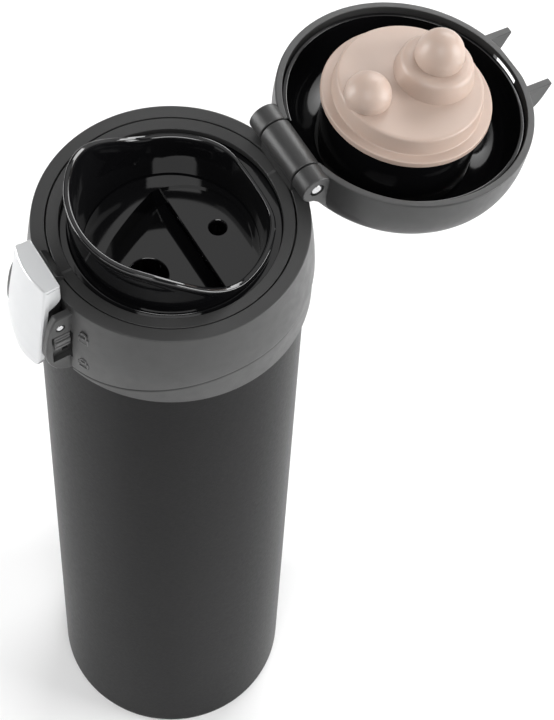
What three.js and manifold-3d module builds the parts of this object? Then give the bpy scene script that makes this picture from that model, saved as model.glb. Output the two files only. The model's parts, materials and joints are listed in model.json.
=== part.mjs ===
// Slim vacuum flask with a one-touch flip lid, in millimetres, +Z up.
// The flask's axis is Z and it stands on z = 0. The button is at the front (-Y), the hinge at the back (+Y).
// The lid is drawn closed and then turned about its hinge to its open rest position.
import * as THREE from "three";
import { mergeVertices } from "three/addons/utils/BufferGeometryUtils.js";
import Module from "manifold-3d";

const wasm = await Module();
wasm.setup();

// ---------------------------------------------------------------- driving dimensions
const GAP = 0.3; // between neighbouring pieces
const FINE = 56; // segments round a large visible ring
const COARSE = 36; // segments round a hidden ring

const BODY = { radius: 35, wall: 0.9, corner: 5, top: 222, plateRadius: 23.6, plateThick: 0.9 };
const NECK = { radius: 29.4, wall: 0.8, top: 235.2 };
const VESSEL = { radius: 32.4, wall: 0.8, bottom: 6.5, shoulder: 216 };

const COLLAR = { top: 250.5, topRadius: 35.3, lowRadius: 37, bandRadius: 36.7, wall: 2.4, openRadius: 31.7 };
const SWOOP = { low: 223.7, high: 232.4, start: -78, end: 4 }; // the shell's lower edge, degrees from +X

const HINGE = { y: 34.6, z: 255.8, radius: 4.3, pin: 1.5, bore: 2, middle: 7.5, inner: 7.9, outer: 13.3 };
const OPEN_ANGLE = THREE.MathUtils.degToRad(188);

const LID = { rim: 252.5, radius: 34.06, height: 22, wall: 1.9, power: 3.5, liner: 1.2, linerRise: 1.8 };
const SEAL = { y: 0.3, flangeRadius: 22.5, flangeTop: 251.4, flangeLow: 249.6, discRadius: 19.2, face: 244.5 };
const VENT = { y: 13.8, hole: 2.2, nub: 7.4 };
const DRINK = { y: -6.8, hole: 5.2, nub: 9, step: 5.5 };

const MOUTH = {
  radius: 26.4, wall: 2.2, high: 265, low: 251.2, flat: 24.4, // upright wall and its lip
  deck: 237.6, shelf: 236.8, floor: 229.5, // levels inside the bowl
};

const HOUSING = { half: 10.8, pocket: 8.9, well: -37.4, back: -34.6, root: -32.3, top: 248.5 };
const BUTTON = { pinY: -37.4, pinZ: 244, pin: 1, top: 258.3, half: 7.8, plate: 1.6 };
const LOCK = { low: 229.5, high: 241, front: -40, rear: -34.2 };

// ---------------------------------------------------------------- geometry helpers
// A closed surface from positions and triangles, turned so that its faces point outwards.
function surface(positions, triangles) {
  const solid = new THREE.BufferGeometry();
  solid.setAttribute("position", new THREE.Float32BufferAttribute(positions, 3));
  const kept = [];
  let volume = 0;
  const a = new THREE.Vector3();
  const b = new THREE.Vector3();
  const c = new THREE.Vector3();
  for (const [i, j, k] of triangles) {
    a.fromArray(positions, 3 * i);
    b.fromArray(positions, 3 * j);
    c.fromArray(positions, 3 * k);
    volume += a.dot(b.cross(c));
    kept.push([i, j, k]);
  }
  solid.setIndex(kept.flatMap(([i, j, k]) => (volume < 0 ? [i, k, j] : [i, j, k])));
  return solid;
}

// Joins vertices that share a place and drops the triangles that this flattens.
function welded(geometry) {
  const plain = geometry.clone();
  for (const name of Object.keys(plain.attributes)) if (name !== "position") plain.deleteAttribute(name);
  const merged = mergeVertices(plain, 1e-4);
  const index = merged.index.array;
  const kept = [];
  for (let i = 0; i < index.length; i += 3) {
    const [a, b, c] = [index[i], index[i + 1], index[i + 2]];
    if (a !== b && b !== c && a !== c) kept.push(a, b, c);
  }
  merged.setIndex(kept);
  return merged;
}

function toSolid(geometry) {
  const mesh = welded(geometry);
  return new wasm.Manifold(
    new wasm.Mesh({
      numProp: 3,
      vertProperties: new Float32Array(mesh.attributes.position.array),
      triVerts: new Uint32Array(mesh.index.array),
    }),
  );
}

function toGeometry(solid) {
  const mesh = solid.getMesh();
  const geometry = new THREE.BufferGeometry();
  const places = new Float32Array(mesh.numVert * 3);
  for (let i = 0; i < mesh.numVert; i++) {
    places.set(mesh.vertProperties.subarray(i * mesh.numProp, i * mesh.numProp + 3), i * 3);
  }
  geometry.setAttribute("position", new THREE.BufferAttribute(places, 3));
  geometry.setIndex(new THREE.BufferAttribute(new Uint32Array(mesh.triVerts), 1));
  return geometry;
}

const cut = (base, ...tools) => toGeometry(tools.reduce((s, t) => s.subtract(toSolid(t)), toSolid(base)));
const join = (base, ...more) => toGeometry(more.reduce((s, t) => s.add(toSolid(t)), toSolid(base)));

// Turns a closed outline round Z. outlineAt(angle) gives the [radius, z] corners at that angle in radians.
function turned(outlineAt, segments) {
  const positions = [];
  const triangles = [];
  const count = outlineAt(0).length;
  for (let s = 0; s < segments; s++) {
    const angle = (2 * Math.PI * s) / segments;
    for (const [r, z] of outlineAt(angle)) positions.push(r * Math.cos(angle), r * Math.sin(angle), z);
  }
  for (let s = 0; s < segments; s++) {
    for (let p = 0; p < count; p++) {
      const q = (p + 1) % count;
      const here = s * count;
      const next = ((s + 1) % segments) * count;
      triangles.push([here + p, next + p, next + q], [here + p, next + q, here + q]);
    }
  }
  return welded(surface(positions, triangles));
}

const ring = (inner, outer, low, high, segments = COARSE) =>
  turned(() => [[inner, low], [outer, low], [outer, high], [inner, high]], segments);

const disc = (radius, low, high, segments = COARSE) =>
  new THREE.CylinderGeometry(radius, radius, high - low, segments)
    .rotateX(Math.PI / 2)
    .translate(0, 0, (low + high) / 2);

const box = (x0, x1, y0, y1, z0, z1) =>
  new THREE.BoxGeometry(x1 - x0, y1 - y0, z1 - z0).translate((x0 + x1) / 2, (y0 + y1) / 2, (z0 + z1) / 2);

// A round bar along X about the line (y, z).
const barX = (radius, x0, x1, y, z, segments = 24) =>
  new THREE.CylinderGeometry(radius, radius, x1 - x0, segments)
    .rotateZ(Math.PI / 2)
    .translate((x0 + x1) / 2, y, z);

// A plate with the side outline [y, z] between two planes of constant x.
function plateX(outline, x0, x1) {
  const shape = new THREE.Shape(outline.map(([y, z]) => new THREE.Vector2(y, z)));
  const plate = new THREE.ExtrudeGeometry(shape, { depth: x1 - x0, bevelEnabled: false });
  plate.applyMatrix4(new THREE.Matrix4().set(0, 0, 1, x0, 1, 0, 0, 0, 0, 1, 0, 0, 0, 0, 0, 1));
  return plate;
}

// A plate with the plan outline [x, y] between two heights.
const plateZ = (outline, z0, z1) =>
  new THREE.ExtrudeGeometry(new THREE.Shape(outline.map(([x, y]) => new THREE.Vector2(x, y))), {
    depth: z1 - z0,
    bevelEnabled: false,
  }).translate(0, 0, z0);

// A coil spring of round wire about the X direction, centred on (y, z).
function coilX(coilRadius, wireRadius, x0, x1, turns, y, z) {
  class Helix extends THREE.Curve {
    getPoint(t, target = new THREE.Vector3()) {
      const angle = 2 * Math.PI * turns * t;
      return target.set(x0 + (x1 - x0) * t, y + coilRadius * Math.cos(angle), z + coilRadius * Math.sin(angle));
    }
  }
  const corners = Array.from({ length: 5 }, (_, i) => (2 * Math.PI * i) / 5);
  const wire = new THREE.Shape(
    corners.map((a) => new THREE.Vector2(wireRadius * Math.cos(a), wireRadius * Math.sin(a))),
  );
  return new THREE.ExtrudeGeometry(wire, {
    steps: Math.round(turns * 9),
    extrudePath: new Helix(),
    bevelEnabled: false,
  });
}

// Corners along an arc in a section, angles in degrees.
function arc(cx, cy, radius, from, to, steps) {
  return Array.from({ length: steps + 1 }, (_, i) => {
    const angle = THREE.MathUtils.degToRad(from + ((to - from) * i) / steps);
    return [cx + radius * Math.cos(angle), cy + radius * Math.sin(angle)];
  });
}

const smooth = (t) => {
  const s = Math.min(1, Math.max(0, t));
  return s * s * (3 - 2 * s);
};

// ---------------------------------------------------------------- flask body
function outerShell() {
  const { radius, wall, corner, top, plateRadius } = BODY;
  const inner = radius - wall;
  const outline = [
    [plateRadius + GAP, 0],
    ...arc(radius - corner, corner, corner, -90, 0, 4),
    [radius, top - 1.4],
    [radius - 1, top - 0.3],
    [NECK.radius + 0.6, top],
    [NECK.radius, top + 0.7],
    [NECK.radius, NECK.top],
    [NECK.radius - NECK.wall, NECK.top],
    [NECK.radius - NECK.wall, top - wall],
    [inner, top - 1.6],
    ...arc(radius - corner, corner, corner - wall, 0, -90, 2),
    [plateRadius + GAP, wall],
  ];
  return turned(() => outline, FINE);
}

function innerVessel() {
  const { radius, wall, bottom, shoulder } = VESSEL;
  const neckOut = NECK.radius - NECK.wall - 0.4;
  const neckIn = neckOut - wall;
  const outline = [
    [0, bottom],
    [radius - 6, bottom],
    [radius - 1.6, bottom + 2.2],
    [radius, bottom + 6],
    [radius, shoulder],
    [neckOut, shoulder + 4.5],
    [neckOut, NECK.top + GAP],
    [NECK.radius, NECK.top + GAP],
    [NECK.radius, NECK.top + 0.8],
    [neckOut, NECK.top + 1.1],
    [neckIn, NECK.top + 0.8],
    [neckIn, shoulder + 4.2],
    [radius - wall, shoulder - 0.3],
    [radius - wall, bottom + 6],
    [radius - 2.2, bottom + 2.8],
    [radius - 6.2, bottom + wall],
    [0, bottom + wall],
  ];
  return turned(() => outline, FINE);
}

// ---------------------------------------------------------------- cap body
// Height of the upper shell's lower edge: near the seam at the front, rising round both sides to the back.
function swoop(angle) {
  let degrees = THREE.MathUtils.radToDeg(angle) % 360;
  if (degrees > 180) degrees -= 360;
  if (degrees > 90) degrees = 180 - degrees;
  if (degrees < -90) degrees = -180 - degrees;
  return SWOOP.low + (SWOOP.high - SWOOP.low) * smooth((degrees - SWOOP.start) / (SWOOP.end - SWOOP.start));
}

// Outer radius of the collar at a height: almost upright below, drawn in to the shoulder.
function collarRadius(z) {
  const t = Math.max(0, (z - SWOOP.high) / (COLLAR.top - SWOOP.high));
  return COLLAR.lowRadius - (COLLAR.lowRadius - COLLAR.topRadius) * Math.pow(t, 1.5);
}

function collarWall() {
  const inner = COLLAR.topRadius - COLLAR.wall;
  return turned((angle) => {
    const low = swoop(angle);
    const levels = [0, 0.25, 0.5, 0.75, 1].map((t) => low + (COLLAR.top - 0.7 - low) * t);
    return [
      [inner, low],
      ...levels.map((z) => [collarRadius(z), z]),
      [COLLAR.topRadius - 0.7, COLLAR.top],
      [COLLAR.openRadius, COLLAR.top],
      [COLLAR.openRadius, COLLAR.top - 2.1],
      [inner, COLLAR.top - 2.1],
    ];
  }, FINE);
}

function collarShell() {
  const { half, pocket, well, back, root, top } = HOUSING;
  const side = [
    [root, BODY.top + 0.7], [-36, BODY.top + 1], [-39, 225], [-41, 228.6], [-41.8, 233],
    [-41.3, 239], [-40.2, 245], [-38.6, top], [root, top],
  ];
  const bracket = [
    [HINGE.y - HINGE.radius, HINGE.z],
    [HINGE.y - HINGE.radius, COLLAR.top + 0.4],
    [COLLAR.openRadius + 0.3, COLLAR.top + 0.4],
    [COLLAR.openRadius + 0.3, COLLAR.top - 1],
    [HINGE.y - 0.5, COLLAR.top - 1],
    [HINGE.y - 0.3, HINGE.z - HINGE.radius + 0.2],
    [HINGE.y, HINGE.z],
  ];
  const bodies = join(
    collarWall(),
    plateX(side, -half, half),
    barX(HINGE.radius, -HINGE.middle, HINGE.middle, HINGE.y, HINGE.z),
    plateX(bracket, -HINGE.middle, HINGE.middle),
  );
  const { pinY, pinZ, pin } = BUTTON;
  return cut(
    bodies,
    box(-pocket, pocket, -60, well, 200, 280), // the button plate swings in here
    box(-pocket, pocket, -60, back, pinZ - 2.6, 280), // the claw stands here, above the pivot
    box(-12, 12, HINGE.y - 0.3, 50, 238, COLLAR.top + 0.1), // flat that the open lid lies against
    barX(pin + GAP, -20, 20, pinY, pinZ, 16),
    barX(3, -20, 20, HINGE.y, HINGE.z, 20),
    box(9.5, 11.8, LOCK.front, LOCK.rear, LOCK.low, LOCK.high), // window of the lock
    box(7.2, 10, -36.8, -35.2, LOCK.low + 1.5, LOCK.high - 1.4), // slot for the lock's tail
  );
}

function collarBand() {
  const inner = COLLAR.topRadius - COLLAR.wall + 0.2;
  const low = BODY.top + GAP;
  const whole = turned((angle) => {
    const high = swoop(angle) - 0.35;
    return [[inner, low], [COLLAR.bandRadius - 0.3, low], [COLLAR.bandRadius, low + 0.3],
      [COLLAR.bandRadius, high], [inner, high]];
  }, FINE);
  return cut(whole, box(-HOUSING.half - GAP, HOUSING.half + GAP, -60, 0, 200, 240));
}

function collarCore() {
  const outer = COLLAR.topRadius - COLLAR.wall - 0.4;
  const outline = [
    [NECK.radius + 0.7, BODY.top + 1.4], [outer - 2, BODY.top + 1.4], [outer - 2, 230], [outer - 0.8, 232.8],
    [outer - 0.8, 247.9], [outer - 2.6, 247.9], [outer - 2.6, 240.1], [25.7, 240.1], [25.7, 238.2],
    [NECK.radius + 0.7, 238.2],
  ];
  return turned(() => outline, COARSE);
}

// The ring round the mouthpiece. Its two halves meet at the front and back with a small step.
function topRing() {
  const top = COLLAR.top;
  const whole = turned(() => [[28.2, 248.3], [31.3, 248.3], [31.3, top], [28.2, top - 0.3]], FINE);
  const skim = turned(() => [[27, top - 0.8], [32, top - 0.3], [32, top + 3], [27, top + 3]], FINE);
  return cut(whole, toGeometry(toSolid(skim).intersect(toSolid(box(0, 40, -40, 40, 240, 260)))));
}

// Height of the drinking rim: high at the front, swept down to a low rim at the hinge side.
const rimHeight = (y) => MOUTH.high - (MOUTH.high - MOUTH.low) * smooth((y + 20) / 28);

// Radius of an upright wall that is round but flat towards the hinge.
const flattened = (radius, flat, angle) => Math.min(radius, flat / Math.max(1e-6, Math.sin(angle)));

function mouthpiece() {
  const outline = (angle) => {
    const sinAngle = Math.sin(angle);
    const onWall = (radius, inset) =>
      sinAngle > 0 ? flattened(radius, MOUTH.flat - inset, angle) : radius;
    const y = MOUTH.radius * sinAngle;
    const lip = rimHeight(y);
    const inset = MOUTH.wall - 1.1 * smooth((sinAngle - 0.7) / 0.25);
    return [
      [25.2, MOUTH.deck + 0.6],
      [25.2, 241.7],
      [29.5, 241.7],
      [29.5, 247.5],
      [28, 247.9],
      [onWall(26.1, 0.1), 248],
      [onWall(26.1, 0.1), lip - 3],
      [onWall(26.5, 0), lip - 1],
      [onWall(26.1, 0.4), lip - 0.2],
      [onWall(25.6, 0.8), lip],
      [onWall(25, inset - 0.5), lip - 0.3],
      [onWall(24.4, inset), lip - 1.4],
      [onWall(24, inset + 0.1), Math.min(249.5, lip - 3)],
      [onWall(23.3, inset + 0.1), 245],
      [22.8, MOUTH.deck + 0.6],
    ];
  };
  return turned(outline, FINE);
}

// Plan of the recess in the mouthpiece floor: a round end under the hinge, drawn in to a blunt front.
function recessPlan(offset) {
  const radius = 17.4 + offset;
  const sides = [[15.2, -1.5], [12.4, -7], [9.6, -12], [6, -16.4], [2, -18.3]].map(([x, y]) => [
    x + offset * 0.8,
    y - offset * 0.6,
  ]);
  return [
    ...arc(0, 4, radius, 0, 180, 24),
    ...sides.map(([x, y]) => [-x, y]),
    ...sides.reverse(),
  ];
}

function drinkingInsert() {
  const shelfEdge = 6.7;
  const wall = 1.2;
  const floorLow = MOUTH.floor - wall;
  const hole = (y, radius) => disc(radius, 200, 260, 28).translate(0, y, 0);
  const tub = toSolid(plateZ(recessPlan(wall), floorLow, MOUTH.deck - 0.4))
    .add(toSolid(disc(24.8, MOUTH.deck - 1.5, MOUTH.deck, FINE)));
  const hollow = toSolid(plateZ(recessPlan(0), MOUTH.floor, 260)).subtract(
    toSolid(box(-40, 40, shelfEdge, 40, MOUTH.shelf - 1.3, MOUTH.shelf)),
  );
  const below = toSolid(box(-40, 40, shelfEdge + wall, 40, 200, MOUTH.shelf - 1.3));
  const made = tub
    .subtract(hollow)
    .subtract(below)
    .subtract(toSolid(hole(VENT.y, VENT.hole)))
    .subtract(toSolid(hole(DRINK.y, DRINK.hole)));
  return toGeometry(made);
}

// ---------------------------------------------------------------- lid, drawn closed
// A dome section from the rim up: a rounded box shape set by the power.
const domeRadius = (radius, height, h) =>
  radius * Math.pow(Math.max(0, 1 - Math.pow(h / height, LID.power)), 1 / LID.power);

function domeOutline(outer, outerHeight, inner, innerHeight, base, steps, start = 0) {
  const climb = (radius, height) =>
    Array.from({ length: steps + 1 }, (_, i) => {
      const angle = (Math.PI / 2) * (i / steps);
      const h = start + (height - start) * Math.pow(Math.sin(angle), 0.9);
      return [i === steps ? 0 : domeRadius(radius, height, h), base + h];
    });
  return [...climb(outer, outerHeight), ...climb(inner, innerHeight).reverse()];
}

const LID_INNER = { radius: LID.radius - LID.wall, height: LID.height - LID.wall - 0.1 };
const LINER = { radius: LID_INNER.radius - GAP, height: LID_INNER.height - GAP };
const LATCH_FLAT = 8.6; // half width of the flat that the button's claw reaches over
const notch = () => box(-HINGE.inner, HINGE.inner, HINGE.y - 5, 50, LID.rim - 5, HINGE.z + 5.4);

function knuckle(side) {
  const x0 = side > 0 ? HINGE.inner : -HINGE.outer;
  const x1 = side > 0 ? HINGE.outer : -HINGE.inner;
  // The round end and the rib that carries it into the dome.
  const section = [...arc(0, 0, HINGE.radius, -140, 85, 14), [-1.2, 5.5], [-5.2, 9.8]]
    .map(([y, z]) => [HINGE.y + y, HINGE.z + z]);
  return plateX(section, x0, x1);
}

// One of the two fins beside the button: a wedge that is widest at the rim and fades into the dome.
function ear(side) {
  const outline = [
    [-30.5, 0], [-39.8, 0], [-39.4, 1.2], [-37.7, 6.2], [-35.6, 9.2], [-32, 11.4], [-30.5, 11.4],
  ].map(([y, rise]) => [y, LID.rim + rise]);
  const near = side > 0 ? LATCH_FLAT : -LATCH_FLAT - 2;
  return plateX(outline, near, near + 2);
}

function lidShell() {
  const dome = turned(
    () => domeOutline(LID.radius, LID.height, LID_INNER.radius, LID_INNER.height, LID.rim, 7),
    FINE,
  );
  const inside = turned(
    () => domeOutline(LID_INNER.radius + 0.2, LID_INNER.height + 0.2, 0, 0.01, LID.rim - 0.4, 7),
    FINE,
  );
  let solid = toSolid(dome);
  for (const side of [-1, 1]) {
    for (const piece of [knuckle(side), ear(side)]) solid = solid.add(toSolid(piece).subtract(toSolid(inside)));
  }
  const tools = [
    notch(),
    barX(HINGE.bore, -20, 20, HINGE.y, HINGE.z, 16),
    box(-LATCH_FLAT, LATCH_FLAT, -50, -33.5, LID.rim - 1, LID.rim + 8), // flat between the ears
    box(-5, 5, -36, -30, LID.rim + 1.4, LID.rim + 5.4), // slot that the hook holds
  ];
  return toGeometry(tools.reduce((s, t) => s.subtract(toSolid(t)), solid));
}

function lidLiner() {
  const { radius, height } = LINER;
  const dome = turned(
    () => domeOutline(radius, height, radius - LID.liner, height - LID.liner, LID.rim, 6, LID.linerRise),
    COARSE,
  );
  return cut(
    dome,
    notch(),
    barX(HINGE.radius + 0.5, -HINGE.outer - 0.4, HINGE.outer + 0.4, HINGE.y, HINGE.z),
  );
}

function plugHolder() {
  const low = SEAL.flangeTop + GAP;
  const outline = [
    [0, low], [20.6, low], [20.9, low + 0.3], [20.9, 269], [19.2, 269], [19.2, low + 2], [0, low + 2],
  ];
  return turned(() => outline, COARSE).translate(0, SEAL.y, 0);
}

// A soft bullet-shaped nub pointing down from z = top.
function nub(radius, height, top) {
  const steps = 6;
  const side = Array.from({ length: steps + 1 }, (_, i) => {
    const depth = Math.sin((Math.PI / 2) * (i / steps));
    return [i === steps ? 0 : radius * Math.sqrt(1 - Math.pow(depth, 2.6)), top - height * depth];
  });
  return turned(() => [[0, top + 1], [radius, top + 1], ...side], 28);
}

function lidPacking() {
  const { flangeRadius, flangeTop, flangeLow, discRadius, face } = SEAL;
  const base = turned(() => [
    [0, flangeTop], [flangeRadius - 0.3, flangeTop], [flangeRadius, flangeTop - 0.5],
    [flangeRadius - 0.3, flangeLow], [discRadius + 0.5, flangeLow], [discRadius, face + 0.8], [discRadius - 0.8, face], [0, face],
  ], COARSE).translate(0, SEAL.y, 0);
  const stepRadius = 10.6;
  const stepFace = face - DRINK.step;
  const step = turned(() => [
    [0, face + 1], [stepRadius, face + 1], [stepRadius, face], [stepRadius - 1.2, stepFace + 1],
    [stepRadius - 2.4, stepFace], [0, stepFace],
  ], 28);
  return join(
    base,
    nub(6.2, VENT.nub, face).translate(0, VENT.y, 0),
    step.translate(0, DRINK.y, 0),
    nub(6.5, DRINK.nub, stepFace).translate(0, DRINK.y, 0),
  );
}

// ---------------------------------------------------------------- button and lock
// Half width and edge depth of the shield-shaped plate at its heights, from the bottom up.
const SHIELD = [
  [221.3, 1.6, -42.4], [222.3, 4.4, -42.6], [224.5, 6.7, -42.8], [228, 8.1, -42.9], [233, 8.6, -42.7],
  [240, 8.5, -42], [247, 8.3, -41], [253, 8, -40.2], [BUTTON.top, BUTTON.half, -39.6],
];
const CROWN = 1.3;
const HOOK = { half: 4.4, root: -37.4, tip: -32.5, low: 254.6, high: 257.2 };

function shieldPlate() {
  const columns = 8;
  const positions = [];
  const triangles = [];
  for (const layer of [0, 1]) {
    for (const [z, half, edge] of SHIELD) {
      for (let c = 0; c <= columns; c++) {
        const u = (2 * c) / columns - 1;
        const bulge = CROWN * (1 - u * u) * Math.min(1, half / 6);
        positions.push(u * half, edge - bulge + (layer ? BUTTON.plate : 0), z);
      }
    }
  }
  const width = columns + 1;
  const rows = SHIELD.length;
  const at = (layer, r, c) => layer * rows * width + r * width + c;
  const quad = (a, b, c, d) => triangles.push([a, b, c], [a, c, d]);
  for (let r = 0; r + 1 < rows; r++) {
    for (let c = 0; c < columns; c++) {
      quad(at(0, r, c), at(0, r, c + 1), at(0, r + 1, c + 1), at(0, r + 1, c));
      quad(at(1, r, c), at(1, r + 1, c), at(1, r + 1, c + 1), at(1, r, c + 1));
    }
    quad(at(0, r, columns), at(1, r, columns), at(1, r + 1, columns), at(0, r + 1, columns));
    quad(at(0, r, 0), at(0, r + 1, 0), at(1, r + 1, 0), at(1, r, 0));
  }
  for (let c = 0; c < columns; c++) {
    quad(at(0, 0, c), at(1, 0, c), at(1, 0, c + 1), at(0, 0, c + 1));
    quad(at(0, rows - 1, c), at(0, rows - 1, c + 1), at(1, rows - 1, c + 1), at(1, rows - 1, c));
  }
  return surface(positions, triangles);
}

function pushButton() {
  const { top, half } = BUTTON;
  const claw = [
    [-40.6, 247.8], [-37.2, 249.6], [-35.4, 251.2], [-35.2, 253], [-35.2, top], [-39.7, top], [-40.9, 253],
  ];
  const seat = box(-HOOK.half - GAP, HOOK.half + GAP, HOOK.root - GAP, -30, HOOK.low - GAP, HOOK.high + GAP);
  return cut(join(shieldPlate(), plateX(claw, -half, half)), seat);
}

function buttonLatch() {
  const { pinY, pinZ, pin } = BUTTON;
  const yoke = [
    [-39.6, 242.6], [-38.4, 241.8], [-36.4, 241.8], [-35.2, 243], [-35.2, 246], [-36.2, 248.6], [-39.4, 246.6],
  ];
  const arm = [[-39.2, 245.6], [-35.8, 247.4], [-35.2, 248.8], [-35.7, 250], [-39.3, 247]];
  return cut(
    join(
      plateX(yoke, 4.8, 7.4),
      plateX(yoke, -7.4, -4.8),
      plateX(arm, -7.4, 7.4),
    ),
    barX(pin + GAP, -20, 20, pinY, pinZ, 16),
  );
}

// The hook that holds the lid's front bar, seated in the back of the claw. Its ramp lets the lid slide over.
function latchHook() {
  const { half, root, tip, low, high } = HOOK;
  return plateX([[root, low], [tip, low], [tip, low + 1], [tip - 1.9, high], [root, high]], -half, half);
}

function lockSlider() {
  const high = LOCK.high - GAP;
  const low = high - 6;
  const knob = [
    [LOCK.front + GAP, low], [LOCK.front + GAP, high], [LOCK.rear - GAP, high], [LOCK.rear - GAP, low],
  ];
  return cut(
    join(plateX(knob, 9.8, 11.3), box(8.1, 10, -36.5, -35.5, high - 4.6, high - 1.6)),
    ...[1.9, 3.4].map((z) => box(10.8, 12, -50, 0, low + z, low + z + 0.7)), // finger grooves
  );
}

// ---------------------------------------------------------------- assembly
const paint = (colour, roughness, metalness = 0) =>
  new THREE.MeshStandardMaterial({ color: colour, roughness, metalness });

const STYLE = {
  powderCoat: ["#26272a", 0.62, 0.2],
  steel: ["#c4c6c8", 0.3, 1],
  collar: ["#3a3c3f", 0.5],
  gloss: ["#060607", 0.08],
  silicone: ["#d9c3b3", 0.55],
  silver: ["#e4e6e8", 0.28, 0.9],
};

function piece(name, geometry, style) {
  const mesh = new THREE.Mesh(geometry, paint(...STYLE[style]));
  mesh.name = name;
  return mesh;
}

const flask = new THREE.Group();
flask.add(
  piece("outer_shell", outerShell(), "powderCoat"),
  piece("inner_vessel", innerVessel(), "steel"),
  piece("base_plate", disc(BODY.plateRadius, 0, BODY.plateThick), "steel"),
  piece("vacuum_getter", disc(5, 2, VESSEL.bottom - 0.4, 20), "steel"),
);

const cap = new THREE.Group();
cap.add(
  piece("collar_shell", collarShell(), "collar"),
  piece("collar_band", collarBand(), "collar"),
  piece("collar_core", collarCore(), "gloss"),
  piece("collar_gasket", ring(26.6, 29.3, NECK.top + 1.4, 237.9), "silicone"),
  piece("top_ring", topRing(), "collar"),
  piece("mouthpiece", mouthpiece(), "gloss"),
  piece("mouthpiece_gasket", ring(26, 28.8, 240.4, 241.4), "silicone"),
  piece("drinking_insert", drinkingInsert(), "gloss"),
  piece("hinge_pin", barX(HINGE.pin, -13.1, 13.1, HINGE.y, HINGE.z, 16), "steel"),
  piece("hinge_spring", coilX(2.25, 0.32, -6.6, 6.6, 7, HINGE.y, HINGE.z), "steel"),
  piece("button_pin", barX(BUTTON.pin, -10.7, 10.7, BUTTON.pinY, BUTTON.pinZ, 16), "steel"),
  piece("button_spring", coilX(1.65, 0.25, -4, 4, 5, BUTTON.pinY, BUTTON.pinZ), "steel"),
  piece("lock_detent", box(7.5, 7.75, -36.5, -35.5, 231.3, 239.3), "steel"),
);

const lid = new THREE.Group();
lid.add(
  piece("lid_shell", lidShell(), "collar"),
  piece("lid_liner", lidLiner(), "gloss"),
  piece("plug_holder", plugHolder(), "gloss"),
  piece("lid_packing", lidPacking(), "silicone"),
);
lid.position.set(0, -HINGE.y, -HINGE.z);
const lidPivot = new THREE.Group();
lidPivot.add(lid);
lidPivot.position.set(0, HINGE.y, HINGE.z);
lidPivot.rotation.x = -OPEN_ANGLE;

const button = new THREE.Group();
button.add(
  piece("push_button", pushButton(), "silver"),
  piece("latch_hook", latchHook(), "collar"),
  piece("button_latch", buttonLatch(), "collar"),
);

cap.add(lidPivot, button, piece("lock_slider", lockSlider(), "collar"));
flask.add(cap);

export default flask;
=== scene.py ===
"""Looks of a slim vacuum flask with a one-touch flip lid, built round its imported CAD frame.

Shapes are drawn in millimetres, with the flask's axis on Z, the button at -Y and the hinge at +Y, and are
scaled to metres when they are placed. The lid's pieces are drawn closed and turned open about the hinge.
"""

import json
import math

import bmesh
import bpy
from mathutils import Matrix, Vector


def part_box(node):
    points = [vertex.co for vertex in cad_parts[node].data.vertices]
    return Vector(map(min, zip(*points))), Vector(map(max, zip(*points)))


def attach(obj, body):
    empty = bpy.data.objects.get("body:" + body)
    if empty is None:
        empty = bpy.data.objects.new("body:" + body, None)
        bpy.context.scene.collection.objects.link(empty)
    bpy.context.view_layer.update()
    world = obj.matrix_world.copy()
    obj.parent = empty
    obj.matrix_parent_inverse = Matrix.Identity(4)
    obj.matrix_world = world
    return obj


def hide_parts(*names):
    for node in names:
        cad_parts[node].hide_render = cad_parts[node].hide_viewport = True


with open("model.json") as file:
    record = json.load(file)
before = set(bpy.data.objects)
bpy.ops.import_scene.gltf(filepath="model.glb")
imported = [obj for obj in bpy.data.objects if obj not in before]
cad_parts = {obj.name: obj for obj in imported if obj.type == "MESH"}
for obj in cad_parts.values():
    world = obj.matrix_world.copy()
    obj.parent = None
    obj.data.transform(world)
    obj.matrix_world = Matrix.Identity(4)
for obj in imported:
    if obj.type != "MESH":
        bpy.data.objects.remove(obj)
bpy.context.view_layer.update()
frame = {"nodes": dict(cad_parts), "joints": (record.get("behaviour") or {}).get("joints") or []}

# ------------------------------------------------------------------ measures, in millimetres
MM = 0.001
TAU = math.tau
ROUND = 144  # segments round a large visible ring
SMALL = 48  # segments round a small or hidden ring


def low(node):
    return Vector(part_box(node)[0]) / MM


def high(node):
    return Vector(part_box(node)[1]) / MM


JOINTS = {joint["name"]: joint for joint in frame["joints"]}
HINGE = Vector(JOINTS["lid_hinge"]["pos_m"]) / MM
PIVOT = Vector(JOINTS["button_pivot"]["pos_m"]) / MM
OPEN = math.radians(JOINTS["lid_hinge"]["range_deg"][1])

BODY_R = high("outer_shell").x
BODY_TOP = low("collar_band").z - 0.3
NECK_TOP = high("outer_shell").z
NECK_R = 29.4
WALL = 0.9
COLLAR_R = high("collar_band").y + 0.3
COLLAR_TOP = high("top_ring").z
SHOULDER_R = 35.3
OPENING_R = 31.7
RIM = 252.5  # height of the closed lid's rim
LID_R = 34.06
LID_H = 22
LIP_HIGH = high("mouthpiece").z
LIP_LOW = 251.2
DECK = high("drinking_insert").z
SHELF = DECK - 0.8
FLOOR = low("drinking_insert").z + 1.2
VENT_Y, VENT_R, VENT_NUB = 13.8, 2.2, 7.4
DRINK_Y, DRINK_R, DRINK_NUB, DRINK_STEP = -6.8, 5.2, 9, 5.5
SEAL_Y = 0.3
FLANGE = (249.6, 251.4)  # levels of the closed lid's packing flange
FACE = 244.5  # and of the packing's lower face
KNUCKLE_R = 4.3
BARREL = 7.5  # half length of the cap's hinge barrel
KNUCKLE = (7.9, 13.3)
LINER_RISE = 1.8  # how far the liner's edge is inside the lid's rim
LATCH_FLAT = 8.6
MARK_WIRE = 0.24  # half the stroke of the raised padlocks
SWOOP_LOW = 223.7  # the collar shell's lower edge under the button
SWOOP_RISE = 8.7  # and how much higher it is towards the hinge
COLLAR_UPRIGHT = 232.4  # the collar is upright up to here
DOME_POWER = 3.5  # how square the lid's dome is
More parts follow.
